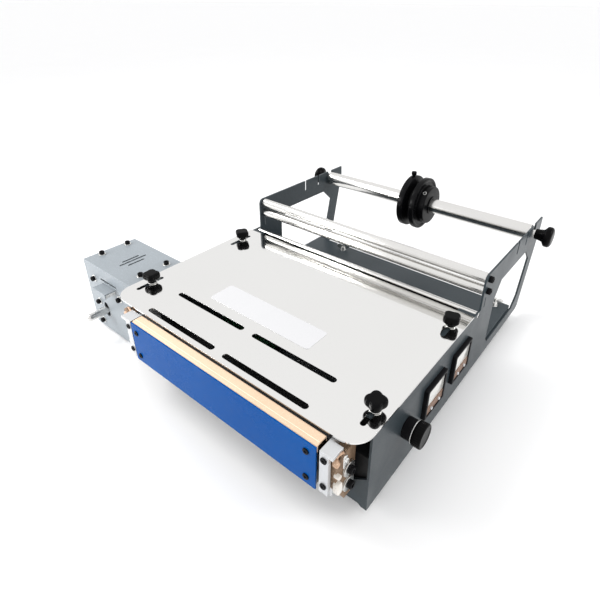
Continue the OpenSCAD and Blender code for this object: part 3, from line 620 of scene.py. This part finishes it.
def parts_of(node):
    """Lowest and highest corner of each loose part of a CAD node, found by walking its edges and
    sorted so that the order is always the same."""
    bm = bmesh.new()
    bm.from_mesh(nodes[node].data)
    bmesh.ops.remove_doubles(bm, verts=bm.verts, dist=1e-5)
    left, parts = set(bm.verts), []
    while left:
        stack, part = [left.pop()], []
        while stack:
            v = stack.pop()
            part.append(v.co[:])
            for e in v.link_edges:
                w = e.other_vert(v)
                if w in left:
                    left.discard(w)
                    stack.append(w)
        part = np.array(part) / MM
        parts.append((part.min(0), part.max(0)))
    bm.free()
    return sorted(parts, key=lambda q: tuple(np.round(q[0] + q[1], 1)))


def screws(parts, axis, sign, head_d, head_h, drive, shank=0.28):
    """Socket screws in the given parts' places: heads towards sign on the axis, shanks behind."""
    k = "xyz".index(axis)
    way = ("+" if sign > 0 else "-") + axis
    shapes = []
    for lo, hi in parts:
        base = (lo + hi) / 2
        turn = 0.37 + (base @ np.array([1.7, 2.3, 0.9])) % 1.0
        top, far = (hi[k], lo[k]) if sign > 0 else (lo[k], hi[k])
        base[k] = top - sign * head_h
        length, r = abs(base[k] - far), head_d * shank
        shapes.append(at(socket_head(head_d, head_h, drive), base, way, turn))
        shapes.append(at(spun(rounded([[0, -length], [r, -length], [r, 0.05], [0, 0.05]],
                                      [0, 0.5, 0, 0], 4, False), 32), base, way))
    return shapes


def washers(parts, axis, r_in):
    """Round-edged washers in the given parts' places."""
    k = "xyz".index(axis)
    out = []
    for lo, hi in parts:
        base = (lo + hi) / 2
        h = (hi - lo)[k]
        out.append(at(washer((hi - lo)[(k + 1) % 3] / 2, r_in, -h / 2, h / 2, min(0.45, h * 0.4)),
                      base, "+" + axis))
    return out


box_parts = parts_of("box_screws")
lid = box_mm("motor_box")[1][2] + 2.5          # only screws on the lid reach above this
replace("box_screws", screws([p for p in box_parts if p[1][2] > lid], "z", 1, 8.6, 5, 4.2)
        + screws([p for p in box_parts if p[1][2] <= lid], "y", -1, 8.6, 5, 4.2))
flat_parts = parts_of("box_washers")
replace("box_washers", washers([p for p in flat_parts if (p[1] - p[0])[2] < 3], "z", 2.6)
        + washers([p for p in flat_parts if (p[1] - p[0])[2] >= 3], "y", 2.6))
replace("nose_screws", screws(parts_of("nose_screws"), "y", -1, 8, 1.6, 3.2))
for node, head_d, head_h, drive in (("insulator_screws", 10, 5, 5), ("tube_pins", 10, 6, 5)):
    both = parts_of(node)
    replace(node, screws([p for p in both if p[0][0] > 0], "x", 1, head_d, head_h, drive)
            + screws([p for p in both if p[0][0] < 0], "x", -1, head_d, head_h, drive))
replace("insulator_washers", washers(parts_of("insulator_washers"), "x", 3.1))


# ---------------------------------------------------------------- hand knobs
def clamp_knob(node, turn):
    """Four-lobed knob: a round hub flares into a lobed head that domes in to a flat top."""
    lo, hi = box_mm(node)
    z0, z1 = lo[2], hi[2]
    profile = rounded(
        [[0, z0 + 0.4, 0], [5.6, z0 + 0.4, 0], [6.2, z0, 0], [6.6, z0 + 1.2, 0],
         [8.2, z0 + 3.8, 0.1], [11.6, z0 + 5.4, 0.7], [13.3, z0 + 7.6, 1], [13.3, z1 - 2.6, 1],
         [11.9, z1 - 0.3, 0.9], [8.6, z1, 0.5], [0, z1, 0]],
        [0, 0.3, 0.3, 1, 1.6, 2, 2, 2.6, 2.4, 2, 0], 6, False)
    centre = ((lo[0] + hi[0]) / 2, (lo[1] + hi[1]) / 2, 0)
    replace(node, at(lobed(profile, 4, 2.9, turn), centre), smooth=60)


for node, degrees in (("clamp_knob_fl", 50), ("clamp_knob_fr", 30), ("clamp_knob_rl", 10),
                      ("clamp_knob_rr", 60)):
    clamp_knob(node, math.radians(degrees))


def stud_shapes():
    """Studs with a rounded washer: the parts of the stud node, each a spun shank with a washer
    on the deck and a six-sided head under the flange."""
    out = []
    for lo, hi in parts_of("clamp_studs"):
        c = (lo + hi) / 2
        top = box_mm("deck")[1][2]
        head = slab(ngon(5.5, 6, 0.2), lo[2], lo[2] + 4, 0.4)
        shank = spun(rounded([[0, lo[2] + 3.9], [3, lo[2] + 3.9], [3, hi[2]], [0, hi[2]]],
                             [0, 0, 0.6, 0], 4, False), 32)
        ring = washer(7.4, 2.9, top + 0.3, top + 1.7, 0.5)
        out += [at(s, (c[0], c[1], 0)) for s in (head, shank, ring)]
    return out


replace("clamp_studs", stud_shapes())


def shaft_knob_shapes():
    """Mushroom knobs: a waisted neck, an undercut, a round rim and a crowned face, spun about X."""
    lo, hi = box_mm("shaft_knobs")
    middle = (lo + hi) / 2
    neck = box_mm("foil_shaft")[1][0]
    profile = rounded([[0, -10], [2.9, -10], [2.9, 0], [9, 0], [9.4, 6], [11.2, 13.5], [14, 15],
                       [18, 18], [18, 25.2], [13.5, 28.4], [0, 28.7]],
                      [0, 0.3, 0, 0.8, 3, 2.5, 1, 1.6, 2.4, 4, 0], 6, False)
    v, f = spun(profile, 96)
    return [at((v, f), (s * neck, middle[1], middle[2]), "+x" if s > 0 else "-x") for s in (-1, 1)]


replace("shaft_knobs", shaft_knob_shapes(), smooth=50)


# ---------------------------------------------------------------- foil shaft, tubes and chuck
def bar_shapes(node, bore, journal=0.0):
    """A turned bar or tube along X: its closed section has rounded rims and a bore, and where a
    journal is given the ends step down to it inside the side plates."""
    lo, hi = box_mm(node)
    r = (hi[2] - lo[2]) / 2
    x0, x1, left, right = lo[0], hi[0], [], []
    if journal:
        x1 = box_mm("side_plate_right")[0][0] + 22.7
        x0 = -x1
        left, right = [[journal, lo[0]], [journal, x0]], [[journal, x1], [journal, hi[0]]]
    line = rounded([[bore, lo[0]], *left, [r, x0], [r, x1], *right, [bore, hi[0]]], 0.6, 4)
    return at(spun(line, 96, closed=True), (0, (lo[1] + hi[1]) / 2, (lo[2] + hi[2]) / 2), "+x")


replace("foil_shaft", bar_shapes("foil_shaft", 3, 7))
replace("tube_upper", bar_shapes("tube_upper", 4.08))
replace("tube_lower", bar_shapes("tube_lower", 4.08))


def chuck_shapes():
    """Core chuck, spun about X: two rimmed flanges with a V groove between them, and a hub to the
    right with a chamfered face."""
    lo, hi = box_mm("core_chuck")
    y, z = (lo[1] + hi[1]) / 2, (lo[2] + hi[2]) / 2
    x0, r = lo[0], (hi[2] - lo[2]) / 2
    bore = box_mm("foil_shaft")[1][1] - y + 0.1
    line = rounded([[bore, 0], [17, 0], [18, 1.2], [r - 8, 1.2], [r - 6, 0], [r, 0], [r, 11],
                    [34, 16], [34, 22], [r, 26], [r, 36], [r - 5, 36], [r - 7, 34.6], [38, 34.6],
                    [37, 36], [37, 50], [bore + 3, 50], [bore, 49]],
                   [0.4, 0.4, 0.4, 0.6, 0.6, 1.6, 1.8, 1, 1, 1.8, 1.6, 0.6, 0.5, 0.4, 0.4, 1.6, 0.6,
                    0.3], 6)
    shapes = [at(spun(line, 144, closed=True), (x0, y, z), "+x")]
    return shapes, (x0, y, z)


chuck, (chuck_x0, chuck_y, chuck_z) = chuck_shapes()
replace("core_chuck", chuck, smooth=30)


def around_chuck(shape, x, degrees, radius):
    """A shape standing on the chuck at an angle forward of the top, its Z pointing outwards."""
    a = math.radians(degrees)
    v, f = shape
    c, s = math.cos(a), math.sin(a)
    out = v + np.array([0, 0, radius])
    turned = np.stack([out[:, 0], out[:, 1] * c - out[:, 2] * s, out[:, 1] * s + out[:, 2] * c], 1)
    return turned + np.array([x, chuck_y, chuck_z]), f


SET_SCREWS = (36, 216)          # degrees forward of the top
set_x = chuck_x0 + 43
# Thin rings round the set-screw seats, finished in bright zinc so that they paint the pale
# highlight on each seat rim: painted highlight.
piece("chuck_seat_highlight_rings", [around_chuck(washer(3.6, 2.6, -0.6, 0.35, 0.25, 48), set_x, d, 37.0)
                            for d in SET_SCREWS], finish["zinc"], "chuck")
piece("chuck_set_screws", [around_chuck(socket_head(4.8, 2.2, 2.4), set_x, d, 34.2)
                           for d in SET_SCREWS], finish["black_screw"], "chuck")
piece("chuck_collar", at(washer(17.6, 14.15, 0, 2.4, 0.5),
                         (chuck_x0 + 49.4, chuck_y, chuck_z), "+x"),
      finish["chuck_black"], "chuck")

lo, hi = box_mm("thumb_screw")
thumb_c = ((lo[0] + hi[0]) / 2, (lo[1] + hi[1]) / 2, 0)
replace("thumb_screw", at(spun(
    [[0, lo[2], 0], [2.9, lo[2], 0], [2.9, hi[2] - 8.2, 0], [3.6, hi[2] - 8, 0],
     [4.5, hi[2] - 6.4, 0.3], [4.8, hi[2] - 5.6, 1], [4.8, hi[2] - 0.9, 1], [4.6, hi[2] - 0.4, .5],
     [4.1, hi[2] - 0.05, 0], [2.4, hi[2], 0], [2.0, hi[2] - 0.3, 0], [0, hi[2] - 0.35, 0]],
    96, 0.035, 24), thumb_c), smooth=40)

# ---------------------------------------------------------------- speed control
lo, hi = box_mm("speed_pot")
pot_y, pot_z = (lo[1] + hi[1]) / 2, (lo[2] + hi[2]) / 2
plate_x = box_mm("side_plate_right")[1][0]
replace("speed_pot", at(spun(rounded(
    [[3.1, lo[0]], [8, lo[0]], [8, plate_x - 3.05], [4.8, plate_x - 3.05], [4.8, plate_x],
     [14, plate_x], [14, hi[0]], [3.1, hi[0]]], [0.3, 0.8, 0.2, 0, 0, 0.9, 1.2, 0.3], 5), 96,
    closed=True), (0, pot_y, pot_z), "+x"))
lo, hi = box_mm("speed_ring")
replace("speed_ring", at(spun(rounded([[3.1, lo[0]], [15.3, lo[0]], [15.3, hi[0]], [3.1, hi[0]]],
                                      [0, 0.4, 0.4, 0], 4), 96, closed=True), (0, pot_y, pot_z),
                         "+x"))
lo, hi = box_mm("speed_knob")
cap0 = plate_x + 13.55
cap_line = rounded([[0, lo[0]], [2.9, lo[0]], [2.9, cap0], [15.4, cap0], [16, cap0 + 2],
                    [16, hi[0] - 0.1], [12.8, hi[0]], [12.2, hi[0] - 0.5], [0, hi[0] - 0.5]],
                   [0, 0.3, 0, 0.6, 0.8, 1.8, 0.4, 0.4, 0], 6, False)
share = ((cap_line[:, 0] > 15.2) & (cap_line[:, 1] > cap0 + 1.6)).astype(float)
replace("speed_knob", at(spun(np.c_[cap_line, share], 192, 0.012, 32), (0, pot_y, pot_z), "+x"),
        smooth=50)


# ---------------------------------------------------------------- meters
def meter_shapes(node):
    """A bezel with a rounded rim round a sloped-in window, on a plain case that runs inwards."""
    lo, hi = box_mm(node)
    y, z = (lo[1] + hi[1]) / 2, (lo[2] + hi[2]) / 2
    w, h = (hi[1] - lo[1]) / 2, (hi[2] - lo[2]) / 2
    outer, inner = rect(-w, -h, w, h, 2.2), rect(-23.2, -21, 23.2, 20.3, 1.2)
    back = rect(-22, -20.5, 22, 20.5, 1.5)
    return [at(hollow_slab(outer, inner, 0, hi[0] - plate_x, 1.3), (plate_x, y, z), "+x"),
            at(slab(back, lo[0], plate_x + 2.2, 0.5), (0, y, z), "+x")], y, z


strips, screens = [], []
for node in ("meter_front", "meter_rear"):
    shapes, y, z = meter_shapes(node)
    replace(node, shapes)
    place = (plate_x, y, z)
    screens.append(at(slab(rect(-22.9, -6.6, 22.9, 20, 0.8), 2.3, 4.4, 0.5), place, "+x"))
    strips.append(at(slab(rect(-22.9, -20.8, 22.9, -7.2, 0.8), 2.3, 4.9, 0.4), place, "+x"))
replace("meter_screens", screens)
piece("meter_strips", strips, finish["key_brown"], "frame")
for node in ("key_f1", "key_f2", "key_r1", "key_r2"):
    lo, hi = box_mm(node)
    r = (hi[1] - lo[1]) / 2
    line = rounded([[0, lo[0]], [r, lo[0]], [r, hi[0] - 0.5], [r * 0.6, hi[0]], [0, hi[0]]],
                   [0, 0.2, 0.5, 0.6, 0], 5, False)
    replace(node, at(spun(line, 48), (0, (lo[1] + hi[1]) / 2, (lo[2] + hi[2]) / 2), "+x"),
            material=finish["label_white"])

# ---------------------------------------------------------------- nose
lo, hi = box_mm("nose_cover")
y0, y1, z0, z1 = lo[1], hi[1], lo[2], hi[2]
wall = 2.5
shell = rounded([[y0, z0], [y0 + wall, z0], [y0 + wall, z1 - wall], [y1 - wall, z1 - wall],
                 [y1 - wall, z0], [y1, z0], [y1, z1], [y0, z1]],
                [0.2, 0.2, 0.8, 0.8, 0.2, 0.2, 3.0, 4.2], 7)
replace("nose_cover", at(slab(shell, lo[0], hi[0], 0.25, 3), (0, 0, 0), "+x"))
# A thin raised strip along the top of the nose cover, in a pale cream that paints the highlight
# line along the cover's rounded front edge: painted highlight.
highlight_ridge_y = y0 + 5.6
piece("nose_highlight_ridge", at(slab(rect(highlight_ridge_y - 0.5, z1 - 0.3, highlight_ridge_y + 0.5, z1 + 0.28, 0.25),
                           lo[0] + 0.4, hi[0] - 0.4, 0.1), (0, 0, 0), "+x"),
      Finish("painted_highlight_cream", (0.93, 0.80, 0.62), (0.86, 0.70, 0.52), 30, 0.6, low=0.4, high=0.55)
      .grained(1200, 0.3, 0.00004).done(), "frame")


def lump(r, centre, wobble=0.12, seed=0.0):
    """A fired-clay bead: a sphere stretched by r on each axis, its radius varied by
    1 + wobble sin(3a + seed) cos(4b)."""
    a, b = np.meshgrid(np.linspace(0, TAU, 32, endpoint=False), np.linspace(0, math.pi, 18))
    k = 1 + wobble * np.sin(3 * a + seed) * np.cos(4 * b) * np.sin(b)
    v = np.stack([r[0] * k * np.sin(b) * np.cos(a), r[1] * k * np.sin(b) * np.sin(a),
                  r[2] * k * np.cos(b)], -1).reshape(-1, 3)
    return v + np.array(centre, float), grid(18, 32, False, True)


def terminals(side, x):
    """Heater terminals at one end: a clay bead with its lead in front of the board, a pair of
    ceramic ends under it and a bright tab with a screw behind. side is +1 at the right end; x is
    the middle of the end strip."""
    name = "right" if side > 0 else "left"
    way = "+x" if side > 0 else "-x"
    dz = box_mm("deck")[1][2]
    y = box_mm("bracket_right")[0][1] + 9          # middle of the gap in front of the board
    piece("clay_beads_" + name, [
        lump((4.4, 3.8, 6.2), (x + side * 2, y - 0.3, dz - 21), 0.08, 0.4),
        tube_along([[x + side * 2, y, dz - 14], [x + side * 3.2, y + 3, dz - 10.5],
                    [x + side * 5.5, y + 8, dz - 10]], 1.5, 12, 16)],
        baked_clay, "frame")
    stub = spun(rounded([[0, 0], [3.2, 0], [3.2, 7], [0, 7]], [0, 0.8, 1.2, 0], 5, False), 40)
    pad = slab(rect(-4.2, -8.5, 4.2, 8.5, 3.6), 0, 7.5, 1.1)
    piece("ceramic_ends_" + name, [at(stub, (x + side, y + 0.4, dz - 40), way),
                                   at(pad, (x + side * 0.5, y + 1.4, dz - 59), way)],
          ceramic, "frame")
    tab = slab(rounded([[-3.2, 0], [3.2, 0], [3.2, 17], [-3.2, 17]], [0.6, 0.6, 2.6, 2.6], 5),
               0, 1.2, 0.3)
    piece("bright_tab_" + name, [
        at(tab, (x + side * 8.7, y + 6, dz - 27), way),
        at(socket_head(5.4, 2.6, 2.5), (x + side * 9.8, y + 6, dz - 14.5), way, 0.5)],
        finish["zinc"], "frame")


def heater_leads(starts, path):
    """Sleeved leads: bars along the same smooth path, each begun at its own place."""
    return [tube_along(np.array(path) + np.array(s), 2.1, 14, 48) for s in starts]


# from the left end strip, over and back past the cross beam
lead_path = [[-163, -311, 0], [-174, -307, 5], [-190, -301, 1], [-204, -296, -9], [-213, -285, -19],
             [-215, -266, -24]]
lead_z = box_mm("deck")[1][2] - 13
piece("leads_brown", heater_leads([(0, 0, lead_z), (3, 6.5, lead_z - 2)], lead_path),
      finish["insulator_brown"], "frame")
piece("leads_tan", heater_leads([(1, 3.2, lead_z + 0.8), (0, -1.5, lead_z - 5)], lead_path),
      baked_clay, "frame")
terminals(1, box_mm("bracket_right")[1][0] - 4)
terminals(-1, box_mm("bracket_left")[0][0] + 4)

# ---------------------------------------------------------------- drive box
box_lo, box_hi = box_mm("motor_box")
hood_y0, hood_y1 = box_lo[1] + 0.8, box_lo[1] + 19
hood_x, hood_z = box_hi[0] - 49.4, box_hi[2] - 26          # the open end and the top of the hood
wires = [tube_along([[hood_x, y, hood_z - 8.2], [hood_x, y, hood_z - 4.5], [hood_x, y, hood_z - 1]],
                    0.4, 6, 4) for y in np.linspace(hood_y0 + 0.8, hood_y1 - 0.8, 12)]
wires += [tube_along([[hood_x + 0.5, hood_y0, z], [hood_x + 0.5, (hood_y0 + hood_y1) / 2, z],
                      [hood_x + 0.5, hood_y1, z]], 0.4, 6, 4)
          for z in np.linspace(hood_z - 7.6, hood_z - 2.2, 4)]
piece("hood_mesh", wires, finish["zinc"], "frame")

lo, hi = box_mm("power_inlet")
inlet_c = (lo + hi) / 2
piece("inlet_pins", [at(slab(rect(-1, -2.1, 1, 2.1, 0.5), 0, 10.5, 0.6),
                        (inlet_c[0] + dx, lo[1] + 6, inlet_c[2] + dz), "+y")
                     for dx, dz in ((-7, -1.5), (7, -1.5), (0, 3))],
      finish["zinc"], "frame")


# ---------------------------------------------------------------- wing nuts
def wing_nut_shapes():
    """Wing nuts: a spun tapered hub and washer, and two ears whose outline is a tilted egg, each
    a rounded slab stood on edge."""
    out = []
    t = np.linspace(0, TAU, 40, endpoint=False)
    for lo, hi in parts_of("tray_wing_nuts"):
        c = (lo + hi) / 2
        z = lo[2] + 8
        line = rounded([[0, lo[2]], [2.5, lo[2]], [2.5, z], [6, z], [6, z + 1.2], [5.6, z + 1.3],
                        [4.2, z + 8.4], [2.6, z + 8.6], [2.5, hi[2]], [0, hi[2]]],
                       [0, 0.5, 0, 0.3, 0.4, 0.2, 0.8, 0.3, 0.6, 0], 4, False)
        out.append(at(spun(line, 48), (c[0], c[1], 0)))
        for s in (-1, 1):
            ear = np.c_[6.2 * np.cos(t) + 1.2 * np.sin(t) * s, 6.0 * np.sin(t)]
            v, f = slab(ear[::1], -1.1, 1.1, 0.7)
            v = np.stack([v[:, 0] + s * 7.6, v[:, 2], v[:, 1] + z + 9.4], 1)
            a = math.radians(30)
            r = np.array([[math.cos(a), math.sin(a), 0], [-math.sin(a), math.cos(a), 0], [0, 0, 1]])
            out.append((v @ r + np.array([c[0], c[1], 0]), f))
    return out


replace("tray_wing_nuts", wing_nut_shapes(), smooth=45)

# ---------------------------------------------------------------- carried CAD nodes
BEVELS = {"deck": 0.06, "label_plate": 0.1, "motor_box": 0.35, "front_cover": 0.35,
          "side_plate_left": 0.4, "side_plate_right": 0.4, "rear_tray": 0.4, "base_pan": 0.4,
          "front_beam": 0.4, "heater_bar": 0.4, "bracket_left": 0.45, "bracket_right": 0.45,
          "insulator_left": 0.3, "insulator_right": 0.3, "feed_roller": 0.25, "pinch_roller": 0.25,
          "roller_bushes": 0.25, "control_board": 0.3, "rubber_feet": 0.8, "rocker": 0.6}
replaced = {n for o in bpy.data.objects for n in o.get("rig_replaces", [])}
for node in sorted(nodes):
    if node not in replaced:
        dress(node, BEVELS.get(node, 0.3))


# ---------------------------------------------------------------- floor, world and light
def make_floor():
    """A wide pale disc on the floor plane, its rings growing outwards as the square of the step."""
    r = np.linspace(0, 1, 24)[:, None] ** 2 * 60
    a = np.linspace(0, TAU, 96, endpoint=False)[None, :]
    v = np.stack([r * np.cos(a), r * np.sin(a), np.full((24, 96), -0.0002)], -1).reshape(-1, 3)
    mesh = bpy.data.meshes.new("floor")
    mesh.from_pydata(v.tolist(), [], grid(24, 96, False, True).tolist())
    obj = bpy.data.objects.new("floor", mesh)
    bpy.context.scene.collection.objects.link(obj)
    mat = Finish("pale_floor", (0.93, 0.93, 0.93), (0.915, 0.915, 0.915), 3, 0.5, low=0.7,
                 high=0.8, Specular_IOR_Level=0.1).done()
    mesh.materials.append(mat)


def make_world():
    """Studio surround: brightness rises and falls with height, whitest above the horizon."""
    world = bpy.data.worlds.new("studio")
    bpy.context.scene.world = world
    world.use_nodes = True
    t = world.node_tree
    t.nodes.clear()
    co = add(t, "TexCoord")
    sep = add(t, "SeparateXYZ", links={0: co.outputs["Generated"]})
    ramp = add(t, "ValToRGB", links={0: math_node(t, "ADD", math_node(
        t, "MULTIPLY", sep.outputs[2], 0.5), 0.5)})
    e = ramp.color_ramp.elements
    for i, (p, c) in enumerate(((0.0, 0.8), (0.5, 1.0), (0.7, 1.04), (0.9, 1.08), (1.0, 1.08))):
        el = e[i] if i < 2 else e.new(p)
        el.position = p
        el.color = (c, c, c * 1.005, 1)
    bg = add(t, "Background", links={0: ramp.outputs[0]}, Strength=1.0)
    out = add(t, "OutputWorld")
    t.links.new(bg.outputs[0], out.inputs[0])


def softbox(name, place, aim, size, power, colour=(1, 1, 1)):
    light = bpy.data.lights.new(name, "AREA")
    light.shape = "RECTANGLE"
    light.size, light.size_y = size
    light.energy = power
    light.color = colour
    obj = bpy.data.objects.new(name, light)
    obj.location = place
    obj.rotation_mode = "QUATERNION"
    obj.rotation_quaternion = (Vector(aim) - Vector(place)).to_track_quat("-Z", "Y")
    bpy.context.scene.collection.objects.link(obj)


make_floor()
make_world()
softbox("key_left", (-1.5, -0.7, 1.6), (0, -0.1, 0.1), (0.8, 0.8), 16)
softbox("rear_right", (1.9, 0.9, 1.3), (0.1, 0, 0.1), (0.8, 0.8), 12)
softbox("front_left", (-0.75, -1.0, 0.45), (-0.1, -0.32, 0.1), (0.35, 0.35), 5)
